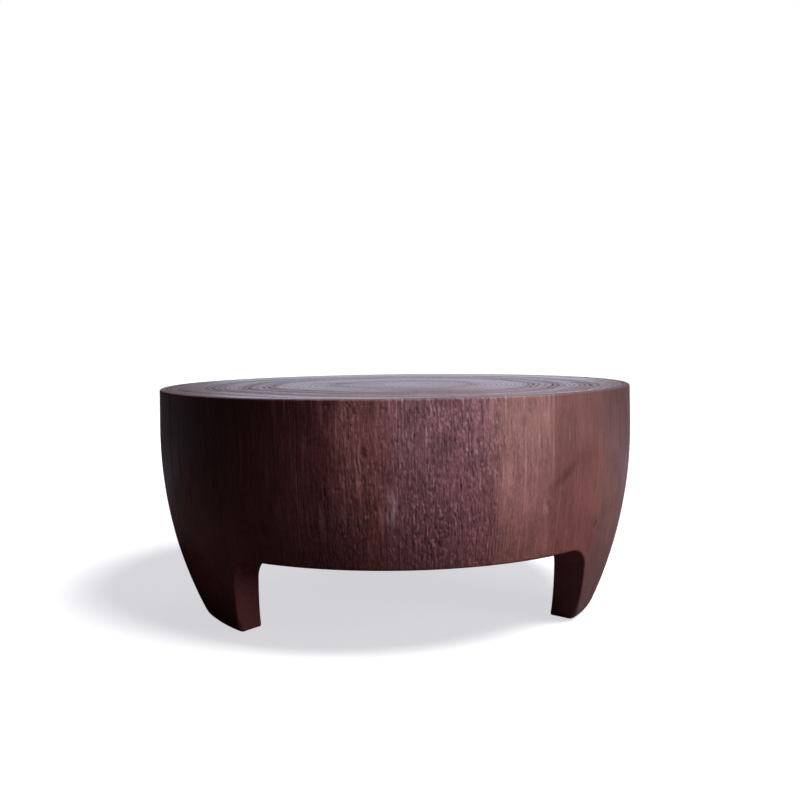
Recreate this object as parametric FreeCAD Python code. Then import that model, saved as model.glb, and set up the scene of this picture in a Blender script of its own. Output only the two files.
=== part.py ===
# Low drum table on three feet, coopered from curved hardwood staves around a cross-cut top slab.
# Millimetres. The origin is the centre of the footprint on the floor, +Z is up, and the opening
# between two feet faces -Y. Angles are in degrees, counted from -Y towards +X.

import FreeCAD, Part
import math
import os

os.makedirs("parts", exist_ok=True)

Vector = FreeCAD.Vector
ORIGIN = Vector(0, 0, 0)
UP = Vector(0, 0, 1)
FRONT_ANGLE = -90.0
FULL_TURN = 360.0

# Outer form of the drum
rim_radius = 400.0
table_height = 362.0
upper_wall_height = 62.0   # straight stretch from the rim down to the belly
foot_inset = 68.0          # how far the soles stand in from the rim
rim_bevel = 5.0

# Thickness of the staves
wall_at_rim = 59.0
wall_at_sole = 43.0

# Three feet, left standing where the openings between them are sawn out
leg_count = 3
leg_height = 129.0         # floor to the underside of the wall between the feet
leg_width_at_top = 229.0   # along the outer face, under the wall
leg_width_at_sole = 111.0
corner_rounding = 52.0     # between the side of a foot and the underside of the wall
sole_bevel = 6.0           # round the outer and side edges of a sole

# Staves and the loose tongues glued into their seams
stave_count = 18
first_seam_angle = 15.5
tongue_thickness = 6.0
tongue_width = 24.0
tongue_stop = 20.0         # wood left past both ends of a tongue in the wall
leg_tongue_stop = 50.0     # and below the tongues that run down into a foot
tongue_clearance = 0.15
tongue_end_clearance = 1.0

# Top slab, let into a rebate in the upper end of the staves
slab_thickness = 40.0
lip_width = 10.0           # what the rebate leaves of the staves around the slab
slab_clearance = 0.3
slab_bevel = 1.0

# Battens that keep the slab flat, let into its underside by sliding dovetails
batten_width = 60.0
batten_thickness = 24.0    # below the slab
batten_spacing = 260.0
batten_bevel = 22.0        # under both ends
batten_edge = 9.0          # what the bevel leaves of the batten's ends
batten_button_gap = 20.0
dovetail_height = 12.0
dovetail_neck = 36.0       # narrowest width, level with the underside of the slab
dovetail_flare = 5.0       # how much wider it gets on each side
dovetail_clearance = 0.15

# Buttons that hold the slab down, their tongues in mortises behind every third stave
button_count = 6
button_stave = 2           # number of the first stave that takes one
button_length = 40.0       # of the block, towards the centre
button_width = 32.0
button_tongue_length = 9.0
button_tongue_thickness = 9.4
button_wall_gap = 1.0
button_slab_gap = 0.3
mortise_depth = 12.0
mortise_height = 10.0
mortise_drop = 10.0        # from the seat of the slab down to the mortise
mortise_side_gap = 2.0

# Square pegs driven up through the buttons into the slab
peg_width = 7.0
peg_bite = 24.0            # depth in the slab
peg_clearance = 0.15
peg_end_clearance = 1.0

# Felt pads, let into the soles
pad_width = 34.0           # round the drum
pad_depth = 22.0           # towards the centre
pad_thickness = 3.0
pad_stand = 1.0            # how far a pad stands below the wood
pad_clearance = 0.3

# Cutting allowances
overrun = 3.0              # what a cutting tool reaches past the wood
saw_start_share = 1 / 3    # of the rim's radius: where the cuts beside the feet begin

# Levels, radii and angles that follow from the sizes above
sole_height = pad_stand
shoulder_height = table_height - upper_wall_height
foot_radius = rim_radius - foot_inset
bore_radius = rim_radius - wall_at_rim
heel_radius = foot_radius - wall_at_sole
rebate_radius = rim_radius - lip_width
slab_radius = rebate_radius - slab_clearance
seat_height = table_height - slab_thickness
mortise_top = seat_height - mortise_drop
pitch_angle = FULL_TURN / stave_count
leg_pitch_angle = FULL_TURN / leg_count
staves_per_leg = stave_count // leg_count
saw_start = rim_radius * saw_start_share


class SideCurve:
    """Upright line from the rim to the shoulder and, tangent to it there, one arc down to the
    sole, as a radius over the height."""

    def __init__(self, rim, foot):
        self.rim = rim
        drop = shoulder_height - sole_height
        inset = rim - foot
        self.belly_radius = (drop ** 2 + inset ** 2) / (2 * inset)

    def radius(self, height):
        drop = max(shoulder_height - height, 0)
        return self.rim - self.belly_radius + math.sqrt(self.belly_radius ** 2 - drop ** 2)

    def point(self, height):
        return Vector(self.radius(height), 0, height)

    def belly(self, low):
        """Arc from the height low up to the shoulder."""
        middle = (low + shoulder_height) / 2
        return Part.Arc(self.point(low), self.point(middle), self.point(shoulder_height)).toShape()


outer_curve = SideCurve(rim_radius, foot_radius)
inner_curve = SideCurve(bore_radius, heel_radius)


def polyline(points):
    return [Part.makeLine(a, b) for a, b in zip(points, points[1:])]


def face_of(edges):
    return Part.Face(Part.Wire(Part.__sortEdges__(edges)))


def prism(points, direction):
    """Straight-sided solid from a closed outline."""
    return Part.Face(Part.makePolygon(points + points[:1])).extrude(direction)


def turned(shape, angle):
    """Copy of a shape drawn along +X, turned to an angle counted from the front."""
    copy = shape.copy()
    copy.rotate(ORIGIN, UP, FRONT_ANGLE + angle)
    return copy


def block(x_size, y_size, low, high, x=0.0, y=0.0):
    """Upright block about a centre on the floor plan."""
    return Part.makeBox(x_size, y_size, high - low, Vector(x - x_size / 2, y - y_size / 2, low))


# Staves

def seam_angle(seam):
    return first_seam_angle + pitch_angle * seam


def stave_angle(number):
    """Middle of a stave, counted from 0."""
    return seam_angle(number) - pitch_angle / 2


def turned_wedge():
    """Share of one stave in the form that the lathe leaves: belly, bevelled sole and rim, and the
    rebate that takes the slab, from the axis outwards. Its middle lies along +X."""
    toe_height = sole_height + sole_bevel
    outline = [outer_curve.point(toe_height),
               Vector(foot_radius - sole_bevel, 0, sole_height),
               Vector(0, 0, sole_height),
               Vector(0, 0, seat_height),
               Vector(rebate_radius, 0, seat_height),
               Vector(rebate_radius, 0, table_height),
               Vector(rim_radius - rim_bevel, 0, table_height),
               Vector(rim_radius, 0, table_height - rim_bevel),
               outer_curve.point(shoulder_height)]
    wedge = face_of(polyline(outline) + [outer_curve.belly(toe_height)]).revolve(ORIGIN, UP, pitch_angle)
    wedge.rotate(ORIGIN, UP, -pitch_angle / 2)
    return wedge


def hollow_side():
    """What is sawn away inside one stave. The inner face follows the inner curve and is flat
    across."""
    half_width = rim_radius * math.tan(math.radians(pitch_angle / 2))
    above = seat_height + overrun
    outline = [inner_curve.point(shoulder_height),
               Vector(bore_radius, 0, above),
               Vector(-overrun, 0, above),
               Vector(-overrun, 0, 0),
               Vector(heel_radius, 0, 0),
               inner_curve.point(sole_height)]
    side = face_of(polyline(outline) + [inner_curve.belly(sole_height)])
    side.translate(Vector(0, -half_width, 0))
    return side.extrude(Vector(0, 2 * half_width, 0))


# Openings between the feet

def saw_cut(side):
    """Cut along one side of a foot. The saw is held level and square to the outer face, leans to
    the width of the sole, and turns through a round corner into the underside of the wall. Drawn
    for a foot on +X, side 1 lies towards +Y."""
    half_at_sole = leg_width_at_sole / (2 * foot_radius)
    half_at_top = leg_width_at_top / (2 * outer_curve.radius(leg_height))
    saw_angle = (half_at_sole + half_at_top) / 2
    along_sole = foot_radius * math.sin(half_at_sole - saw_angle)
    along_top = outer_curve.radius(leg_height) * math.sin(half_at_top - saw_angle)
    lean = (along_top - along_sole) / (leg_height - sole_height)
    middle_of_opening = rim_radius * math.sin(math.pi / leg_count - saw_angle) + overrun

    def at(along, height):
        return Vector(saw_start, side * along, height)

    lean_angle = math.atan(lean)
    corner_height = leg_height - corner_rounding
    corner_along = (along_sole + lean * (corner_height - sole_height)
                    + corner_rounding / math.cos(lean_angle))

    def on_corner(angle):
        return at(corner_along - corner_rounding * math.cos(angle),
                  corner_height + corner_rounding * math.sin(angle))

    start = on_corner(lean_angle)
    end = on_corner(math.pi / 2)
    corner = Part.Arc(start, on_corner((math.pi / 2 + lean_angle) / 2), end).toShape()
    below = -overrun
    outline = [end,
               at(middle_of_opening, leg_height),
               at(middle_of_opening, below),
               at(along_sole - sole_bevel, below),
               at(along_sole - sole_bevel, sole_height),
               at(along_sole + lean * sole_bevel, sole_height + sole_bevel),
               start]
    cut = face_of(polyline(outline) + [corner]).extrude(Vector(rim_radius + overrun - saw_start, 0, 0))
    cut.rotate(ORIGIN, UP, side * math.degrees(saw_angle))
    return cut


# Loose tongues and the grooves they lie in

def tongue(seam, clearance=0.0, end_clearance=0.0):
    """Straight strip along the middle of the wall's thickness, half of it in each stave. Where
    the seam runs down a foot, so does the tongue."""
    from_leg = (seam_angle(seam) % leg_pitch_angle) - leg_pitch_angle / 2
    room = math.degrees((leg_width_at_sole - tongue_width) / (2 * foot_radius))
    low = sole_height + leg_tongue_stop if abs(from_leg) < room else leg_height + tongue_stop
    high = mortise_top - tongue_stop

    def middle(height):
        return (outer_curve.point(height) + inner_curve.point(height)) / 2

    along = (middle(high) - middle(low)).normalize()
    across = Vector(along.z, 0, -along.x) * (tongue_thickness / 2 + clearance)
    foot = middle(low) - along * end_clearance
    head = middle(high) + along * end_clearance
    half_width = tongue_width / 2 + end_clearance
    outline = [point - Vector(0, half_width, 0)
               for point in (foot - across, foot + across, head + across, head - across)]
    return turned(prism(outline, Vector(0, 2 * half_width, 0)), seam_angle(seam))


# Felt pads

def pad(clearance=0.0, below=0.0):
    """Pad in the middle of the sole of a foot on +X."""
    radius = (foot_radius - sole_bevel + heel_radius) / 2
    return block(pad_depth + 2 * clearance, pad_width + 2 * clearance, -below, pad_thickness, radius)


def pad_angle(leg):
    return leg_pitch_angle * (leg + 1 / 2)


# Buttons and pegs

button_outer = bore_radius - button_wall_gap
button_middle = button_outer - button_length / 2
button_bottom = mortise_top - button_tongue_thickness


def button_angle(number):
    return stave_angle(button_stave - 1) + FULL_TURN * number / button_count


def peg(clearance=0.0, end_clearance=0.0):
    width = peg_width + 2 * clearance
    return block(width, width, button_bottom - end_clearance,
                 seat_height + peg_bite + end_clearance, button_middle)


def peg_hole():
    return peg(peg_clearance, peg_end_clearance)


def button():
    """Block pegged under the slab, with a tongue that bears up against the mortise's upper side."""
    tip = bore_radius + button_tongue_length
    top = seat_height - button_slab_gap
    back = -button_width / 2
    outline = [Vector(button_outer - button_length, back, button_bottom),
               Vector(tip, back, button_bottom),
               Vector(tip, back, mortise_top),
               Vector(button_outer, back, mortise_top),
               Vector(button_outer, back, top),
               Vector(button_outer - button_length, back, top)]
    return prism(outline, Vector(0, button_width, 0)).cut(peg_hole())


def mortise():
    width = button_width + 2 * mortise_side_gap
    depth = mortise_depth + overrun
    return block(depth, width, mortise_top - mortise_height, mortise_top,
                 bore_radius + mortise_depth - depth / 2)


# Battens

def dovetail(y, clearance=0.0):
    """Tail that widens upwards into the underside of the slab and runs along X, past both sides of
    the drum."""
    neck = dovetail_neck / 2 + clearance
    head = neck + dovetail_flare
    top = seat_height + dovetail_height + clearance
    start = -rim_radius
    outline = [Vector(start, y - neck, seat_height),
               Vector(start, y + neck, seat_height),
               Vector(start, y + head, top),
               Vector(start, y - head, top)]
    return prism(outline, Vector(2 * rim_radius, 0, 0))


def batten_places():
    """Middle of each batten along Y, front first."""
    return [-batten_spacing / 2, batten_spacing / 2]


def batten(y):
    """Flat bar with ends bevelled underneath, as long as the ring of buttons leaves room for. The
    dovetail on top runs on to both sides of the slab and is trimmed flush with its edge."""
    corner_y = (batten_spacing + batten_width) / 2
    room = button_outer - button_length - batten_button_gap
    end = math.sqrt(room ** 2 - corner_y ** 2)
    bottom = seat_height - batten_thickness
    near = y - batten_width / 2
    outline = [Vector(-end, near, seat_height),
               Vector(end, near, seat_height),
               Vector(end, near, seat_height - batten_edge),
               Vector(end - batten_bevel, near, bottom),
               Vector(batten_bevel - end, near, bottom),
               Vector(-end, near, seat_height - batten_edge)]
    bar = prism(outline, Vector(0, batten_width, 0))
    disc = Part.makeCylinder(slab_radius, dovetail_height, Vector(0, 0, seat_height))
    return bar.fuse(dovetail(y).common(disc)).removeSplitter()


# Top slab

def top_slab():
    """Cross-cut disc with a bevelled upper edge, dovetailed grooves across its underside and
    blind holes for the pegs."""
    outline = [Vector(0, 0, seat_height),
               Vector(slab_radius, 0, seat_height),
               Vector(slab_radius, 0, table_height - slab_bevel),
               Vector(slab_radius - slab_bevel, 0, table_height),
               Vector(0, 0, table_height),
               Vector(0, 0, seat_height)]
    disc = face_of(polyline(outline)).revolve(ORIGIN, UP, FULL_TURN)
    cuts = [dovetail(y, dovetail_clearance) for y in batten_places()]
    cuts += [turned(peg_hole(), button_angle(number)) for number in range(button_count)]
    return disc.cut(cuts).removeSplitter()


def staves():
    """Staves of one foot and one opening, then the same again round the drum."""
    blank = turned_wedge().cut(hollow_side())
    feet = [pad_angle(0) - leg_pitch_angle, pad_angle(0)]
    cuts = [turned(saw_cut(side), angle) for angle in feet for side in (1, -1)]
    cuts += [turned(pad(pad_clearance, overrun), angle) for angle in feet]
    cuts += [turned(mortise(), button_angle(number)) for number in range(button_count)]
    cuts += [tongue(seam, tongue_clearance, tongue_end_clearance) for seam in range(stave_count)]
    pieces = []
    for number in range(staves_per_leg):
        piece = turned(blank, stave_angle(number))
        near = [cut for cut in cuts if cut.BoundBox.intersect(piece.BoundBox)]
        pieces.append(piece.cut(near).removeSplitter())
    ring = []
    for leg in range(leg_count):
        for piece in pieces:
            copy = piece.copy()
            copy.rotate(ORIGIN, UP, leg_pitch_angle * leg)
            ring.append(copy)
    return ring


def save(shape, node):
    shape.exportStep("parts/" + node + ".step")


save(top_slab(), "top_slab")

for number, piece in enumerate(staves(), 1):
    save(piece, "stave_%02d" % number)

for seam in range(stave_count):
    save(tongue(seam), "seam_tongue_%02d" % (seam + 1))

for name, y in zip(("front", "rear"), batten_places()):
    save(batten(y), "top_batten_" + name)

for number in range(button_count):
    save(turned(button(), button_angle(number)), "top_button_%d" % (number + 1))

pegs = [turned(peg(), button_angle(number)) for number in range(button_count)]
save(Part.makeCompound(pegs), "button_pegs")

for leg in range(leg_count):
    save(turned(pad(), pad_angle(leg)), "foot_pad_%d" % (leg + 1))
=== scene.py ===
"""Looks of a low drum table: carved staves, cross-cut top and the joinery under it.

Metres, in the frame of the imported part. The origin is the centre of the footprint on the floor,
+Z is up, and the opening between two feet faces -Y. Angles are counted from -Y towards +X.
"""
import math
from typing import NamedTuple

import bpy
import numpy as np
from bpy.props import FloatProperty, FloatVectorProperty, IntProperty, PointerProperty
from mathutils import Matrix, Vector


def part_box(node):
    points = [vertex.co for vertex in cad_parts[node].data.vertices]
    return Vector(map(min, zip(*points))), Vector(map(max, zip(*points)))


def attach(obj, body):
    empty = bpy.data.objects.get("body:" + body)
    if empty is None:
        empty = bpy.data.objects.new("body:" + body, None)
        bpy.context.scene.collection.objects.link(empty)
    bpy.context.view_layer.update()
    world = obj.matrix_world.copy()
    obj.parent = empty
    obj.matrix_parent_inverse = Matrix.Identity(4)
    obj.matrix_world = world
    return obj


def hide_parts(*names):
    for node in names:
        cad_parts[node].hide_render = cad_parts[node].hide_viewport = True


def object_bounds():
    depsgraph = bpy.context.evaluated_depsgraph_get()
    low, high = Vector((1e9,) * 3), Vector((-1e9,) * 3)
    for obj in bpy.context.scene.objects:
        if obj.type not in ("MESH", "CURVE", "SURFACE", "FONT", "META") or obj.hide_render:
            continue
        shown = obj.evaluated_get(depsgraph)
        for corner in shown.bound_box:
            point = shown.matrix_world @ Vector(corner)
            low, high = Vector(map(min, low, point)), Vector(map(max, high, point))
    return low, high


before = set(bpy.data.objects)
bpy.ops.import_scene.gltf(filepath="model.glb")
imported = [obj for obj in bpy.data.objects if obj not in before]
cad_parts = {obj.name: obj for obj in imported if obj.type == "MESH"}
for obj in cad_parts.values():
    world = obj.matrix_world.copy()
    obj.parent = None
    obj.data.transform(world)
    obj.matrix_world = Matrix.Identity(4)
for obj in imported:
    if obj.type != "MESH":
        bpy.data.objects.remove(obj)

bare_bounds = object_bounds()

bl_info = {
    "name": "Drum table looks",
    "version": (1, 0, 0),
    "blender": (4, 5, 0),
    "location": "3D View > Sidebar > Drum table",
    "description": "Surfaces, finishes and studio of a low coopered drum table",
    "category": "Object",
}

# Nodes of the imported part, and sizes read from it

STAVES = ["stave_%02d" % number for number in range(1, 19)]
TONGUES = ["seam_tongue_%02d" % number for number in range(1, 19)]
BUTTONS = ["top_button_%d" % number for number in range(1, 7)]
BATTENS = ["top_batten_front", "top_batten_rear"]
PADS = ["foot_pad_%d" % number for number in range(1, 4)]

slab_low, slab_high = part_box("top_slab")
RIM_RADIUS = float(bare_bounds[1][0])
TABLE_HEIGHT = float(slab_high[2])
SEAT_HEIGHT = float(slab_low[2])
SLAB_RADIUS = float(slab_high[0])
SLAB_MIDDLE = (TABLE_HEIGHT + SEAT_HEIGHT) / 2
APRON_HEIGHT = float(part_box("stave_01")[0][2])
SOLE_HEIGHT = float(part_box("stave_04")[0][2])
FULL_TURN = 360.0
STAVE_PITCH = math.radians(FULL_TURN / len(STAVES))
FOOT_PITCH = math.radians(FULL_TURN / len(PADS))


# Values of the user's panel

def amount(name, description, default):
    """Plain number of the panel."""
    return FloatProperty(name=name, description=description, default=default)


def metres(name, description, default):
    """Length of the panel, in metres."""
    return FloatProperty(name=name, description=description, default=default, min=0.0,
                         unit="LENGTH", subtype="DISTANCE")


def degrees(name, description, default):
    """Angle of the panel, given in degrees and kept in radians."""
    return FloatProperty(name=name, description=description, default=math.radians(default),
                         unit="ROTATION", subtype="ANGLE")


def tone(name, description, default):
    """Colour of the panel, in linear red, green and blue."""
    return FloatVectorProperty(name=name, description=description, default=default,
                               size=3, min=0.0, max=1.0, subtype="COLOR")


class DrumSizes(bpy.types.PropertyGroup):
    """Form of the coopered wall and of the grooves in the slab"""
    rim_radius: metres("Rim radius", "Outer radius at the rim", RIM_RADIUS)
    upper_wall: metres("Upright wall", "Height of the upright stretch under the rim", 0.062)
    foot_inset: metres("Foot inset", "How far the soles stand in from the rim", 0.068)
    rim_rounding: metres("Rim rounding", "Radius of the worn outer edge of the rim", 0.0035)
    wall_at_rim: metres("Wall at the rim", "Thickness of the staves at the rim", 0.059)
    wall_at_sole: metres("Wall at the sole", "Thickness of the staves at the floor", 0.043)
    lip_width: metres("Lip", "Width of the lip round the slab", 0.010)
    leg_width_at_top: metres("Foot width at the top", "Width of a foot under the wall", 0.229)
    leg_width_at_sole: metres("Foot width at the sole", "Width of a foot at the floor", 0.111)
    corner_rounding: metres("Corner rounding", "Radius between a foot and the wall", 0.052)
    toe_rounding: metres("Toe rounding", "Radius at the side edges of a sole", 0.009)
    sole_rounding: metres("Sole rounding", "Rounding of the outer edge of a sole", 0.011)
    arris: metres("Arris", "Softening of the edges of the openings", 0.003)
    groove_neck: metres("Groove neck", "Half the width of a batten groove at its mouth", 0.01815)
    groove_flare: metres("Groove flare", "How much wider a groove is inside, each side", 0.005)
    groove_depth: metres("Groove depth", "Depth of a batten groove", 0.01215)
    first_seam: degrees("First seam", "Angle of the seam after stave 1", 15.5)
    columns: IntProperty(name="Columns", description="Sections across a stave", default=150,
                         min=20)
    rows: IntProperty(name="Rows", description="Points down the outer face", default=140, min=20)


class WoodTones(bpy.types.PropertyGroup):
    """Stains of the table"""
    tan: tone("Tan", "Light board under the stain", (0.365, 0.180, 0.168))
    mauve: tone("Mauve", "Rough brushed board", (0.270, 0.118, 0.138))
    russet: tone("Russet", "Red-brown streaky board", (0.280, 0.100, 0.105))
    umber: tone("Umber", "Dark board", (0.120, 0.030, 0.033))
    chestnut: tone("Chestnut", "Smooth board", (0.220, 0.098, 0.092))
    # The grey of this board is partly a painted sheen, for the right edge of the drum.
    ash_and_sheen: tone("Ash", "Greyed smooth board", (0.190, 0.092, 0.092))
    pore: tone("Pore", "Stain caught in the pores of planed wood", (0.020, 0.008, 0.009))
    raised: tone("Raised fibre", "Pale fibre that the brush has lifted", (0.45, 0.34, 0.34))
    scuff: tone("Scuff", "Place where the stain is rubbed off", (0.46, 0.31, 0.35))
    slab: tone("Slab", "Greyed late wood of the top", (0.170, 0.112, 0.125))
    slab_dark: tone("Slab rings", "Dark early wood of the top", (0.045, 0.022, 0.026))
    bare: tone("Bare wood", "Tongues and pegs", (0.36, 0.21, 0.11))
    inner: tone("Inner wood", "Battens and buttons", (0.17, 0.085, 0.055))
    felt: tone("Felt", "Pads", (0.035, 0.024, 0.020))


class StudioValues(bpy.types.PropertyGroup):
    """Camera and lamps"""
    camera_distance: metres("Camera distance", "From the table's axis", 1.6)
    camera_height: metres("Camera height", "Above the floor", 0.443)
    camera_azimuth: degrees("Camera azimuth", "Angle of the camera from -Y towards +X", -4.9)
    camera_roll: degrees("Camera roll", "Tilt of the frame", math.degrees(-0.0128))
    lens: amount("Lens", "Focal length in millimetres", 41.03)
    shift_x: amount("Shift across", "Share of the frame", 0.0076)
    shift_y: amount("Shift up", "Share of the frame", -0.0785)
    key_azimuth: degrees("Key azimuth", "Angle of the key lamp from -Y towards +X", 55.0)
    key_elevation: degrees("Key elevation", "Height of the key lamp above the horizon", 56.0)
    key_spread: degrees("Key spread", "Width of the key lamp in the sky", 24.0)
    key_strength: amount("Key strength", "Irradiance in watts a square metre", 4.2)
    fill_elevation: degrees("Fill elevation", "Height of the fill lamp above the horizon", 18.0)
    fill_strength: amount("Fill strength", "Irradiance of the low lamp beside the key", 0.60)
    rear_power: amount("Rear power", "Power of the panel behind the table in watts", 25.0)
    rear_tint: tone("Rear tint", "Colour of the panel behind the table", (0.72, 0.79, 1.0))
    ambient: amount("Ambient", "Strength of the surroundings on the object", 0.018)
    ambient_tint: tone("Ambient tint", "Colour of the surroundings", (1.0, 0.94, 0.98))


# Numbers over a surface

LATTICE_STEPS = (127.1, 311.7, 74.7)
LATTICE_STRETCH = 43758.5453


def ease(x):
    """Smooth step from 0 to 1: three times x squared less two times x cubed, held at both ends."""
    x = np.clip(x, 0.0, 1.0)
    return x * x * (3 - 2 * x)


def lattice(ix, iy, seed):
    """A fixed random number from -1 to 1 for every whole-numbered place of a square grid: what
    is left after the point of a large multiple of a sine."""
    step_x, step_y, step_seed = LATTICE_STEPS
    mixed = np.sin(ix * step_x + iy * step_y + seed * step_seed) * LATTICE_STRETCH
    return 2 * (mixed - np.floor(mixed)) - 1


def noise(x, y, seed):
    """Soft noise from -1 to 1: the grid's numbers joined by a smooth step in both directions."""
    ix, iy = np.floor(x), np.floor(y)
    fx, fy = ease(x - ix), ease(y - iy)
    near = lattice(ix, iy, seed) * (1 - fx) + lattice(ix + 1, iy, seed) * fx
    far = lattice(ix, iy + 1, seed) * (1 - fx) + lattice(ix + 1, iy + 1, seed) * fx
    return near * (1 - fy) + far * fy


def layered(x, y, seed, layers):
    """Layers of noise, each twice as fine and half as strong as the one before."""
    total = 0.0
    for layer in range(layers):
        fineness = 2 ** layer
        total = total + noise(x * fineness, y * fineness, seed + 17 * layer) / fineness
    return total / (2 - 2.0 ** (1 - layers))


def waver(length, step, seed):
    """Noise from -1 to 1 along a line, which changes with every step of length."""
    return noise(length / step, 0 * length, seed)


def bell(*distances):
    """Bell curve: 1 where all the distances are 0, and fading as their squares add up."""
    return np.exp(-sum(distance ** 2 for distance in distances))


class Pattern(NamedTuple):
    """Noise over a face: how far it runs across and up before it changes, its seed and its
    layers. Each board can have its own."""
    across: float
    up: float
    seed: float
    layers: int = 1

    def over(self, x, y, board=0):
        """The noise, from -1 to 1."""
        return layered(x / self.across, y / self.up, self.seed + board, self.layers)

    def share(self, x, y, board=0):
        """The noise, from 0 to 1."""
        return 0.5 + 0.5 * self.over(x, y, board)

    def above(self, least, x, y, board=0):
        """How far the noise rises over a least value."""
        return np.clip(self.over(x, y, board) - least, 0, 1)


# Meshes

SHARP_FROM = 0.7


def grid_faces(rows, columns, close_rows):
    """Quads between neighbouring rows and columns of a grid of points; close_rows joins the last
    point of every column to its first."""
    last = rows if close_rows else rows - 1
    j, i = np.meshgrid(np.arange(last), np.arange(columns - 1), indexing="ij")
    k = (j + 1) % rows
    return np.stack([j * columns + i, j * columns + i + 1, k * columns + i + 1, k * columns + i],
                    axis=-1).reshape(-1, 4)


def new_piece(name, points, faces):
    """Mesh object at the origin from computed points and faces."""
    mesh = bpy.data.meshes.new(name)
    mesh.from_pydata(points.reshape(-1, 3).tolist(), [], faces)
    mesh.validate()
    piece = bpy.data.objects.new(name, mesh)
    bpy.context.scene.collection.objects.link(piece)
    return piece


def set_attribute(piece, name, values):
    """Stores computed numbers, vectors or colours on the points of a mesh."""
    kind, field = {1: ("FLOAT", "value"), 3: ("FLOAT_VECTOR", "vector"),
                   4: ("FLOAT_COLOR", "color")}[values.size // len(piece.data.vertices)]
    layer = piece.data.attributes.new(name, kind, "POINT")
    layer.data.foreach_set(field, np.ascontiguousarray(values, dtype=np.float32).ravel())


def show_as(piece, node, material):
    """Gives a piece smooth faces and its material, and puts it in the place of a solid of the
    part, in one of its finishes."""
    piece.data.shade_smooth()
    piece.data.set_sharp_from_angle(angle=SHARP_FROM)
    piece.data.materials.append(material)
    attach(piece, "root")
    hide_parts(node)


# Shader expressions

def operator_pair(operation):
    """Plain and reflected form of an operator, which add its Math node."""
    def plain(self, other):
        return self.math(operation, self, other)

    def reflected(self, other):
        return self.math(operation, other, self)

    return plain, reflected


class Value:
    """A socket that can stand in an expression."""
    __add__, __radd__ = operator_pair("ADD")
    __sub__, __rsub__ = operator_pair("SUBTRACT")
    __mul__, __rmul__ = operator_pair("MULTIPLY")

    def __init__(self, finish, socket):
        self.finish = finish
        self.socket = socket

    def math(self, operation, first, second):
        return self.finish.node("ShaderNodeMath", {"operation": operation}, {0: first, 1: second})


class Finish:
    """A material with one Principled shader, built up by expressions."""

    def __init__(self, name, roughness=0.6, specular=0.5):
        self.material = bpy.data.materials.new(name)
        self.material.use_nodes = True
        self.tree = self.material.node_tree
        self.shader = self.tree.nodes["Principled BSDF"]
        self.set("Roughness", roughness)
        self.set("Specular IOR Level", specular)

    def put(self, socket, value):
        """Links a value to a socket, or sets a number, a vector or a colour there."""
        if isinstance(value, Value):
            self.tree.links.new(value.socket, socket)
        elif hasattr(value, "__len__") and len(socket.default_value) == 4 and len(value) == 3:
            socket.default_value = (*value, 1.0)
        else:
            socket.default_value = value

    def set(self, name, value):
        """Feeds a socket of the Principled shader."""
        self.put(self.shader.inputs[name], value)

    def node(self, kind, settings=None, inputs=None, output=0):
        """Adds a node, sets its settings, then its sockets' values or links."""
        node = self.tree.nodes.new(kind)
        for key, value in (settings or {}).items():
            if key == "stops":
                ramp = node.color_ramp
                while len(ramp.elements) < len(value):
                    ramp.elements.new(1.0)
                for element, (place, level) in zip(ramp.elements, value):
                    element.position = place
                    element.color = (level, level, level, 1.0)
            else:
                setattr(node, key, value)
        for key, value in (inputs or {}).items():
            self.put(node.inputs[key], value)
        return Value(self, node.outputs[output])

    def attribute(self, name, output="Fac"):
        return self.node("ShaderNodeAttribute", {"attribute_name": name}, output=output)

    def place(self):
        return self.node("ShaderNodeTexCoord", output="Object")

    def along(self, axis):
        """Distance along an axis of the object."""
        return self.node("ShaderNodeSeparateXYZ", {}, {0: self.place()}, output=axis)

    def cloud(self, vector, rates, detail=3.0, roughness=0.55, distortion=0.0):
        """Noise that changes as many times in a metre as the three rates say."""
        stretched = self.node("ShaderNodeVectorMath", {"operation": "MULTIPLY"},
                              {0: vector, 1: rates})
        return self.node("ShaderNodeTexNoise", {}, {
            "Vector": stretched, "Scale": 1.0, "Detail": detail, "Roughness": roughness,
            "Distortion": distortion})

    def level(self, value, *stops):
        """Ramp from a value to a number, by places and levels."""
        return self.node("ShaderNodeValToRGB", {"stops": stops}, {"Fac": value})

    def mix(self, share, low, high, blend="MIX"):
        return self.node("ShaderNodeMix", {"data_type": "RGBA", "blend_type": blend},
                         {0: share, 6: low, 7: high}, output=2)

    def tint(self, colour, brightness):
        """Colour times a number."""
        grey = self.node("ShaderNodeCombineColor", {},
                         {0: brightness, 1: brightness, 2: brightness})
        return self.mix(1.0, colour, grey, "MULTIPLY")

    def mix_shaders(self, share, low, high):
        return self.node("ShaderNodeMixShader", {}, {0: share, 1: low, 2: high}, "Shader")

    def bump(self, height, distance, strength):
        self.set("Normal", self.node("ShaderNodeBump", {}, {
            "Height": height, "Distance": distance, "Strength": strength}))


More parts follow.
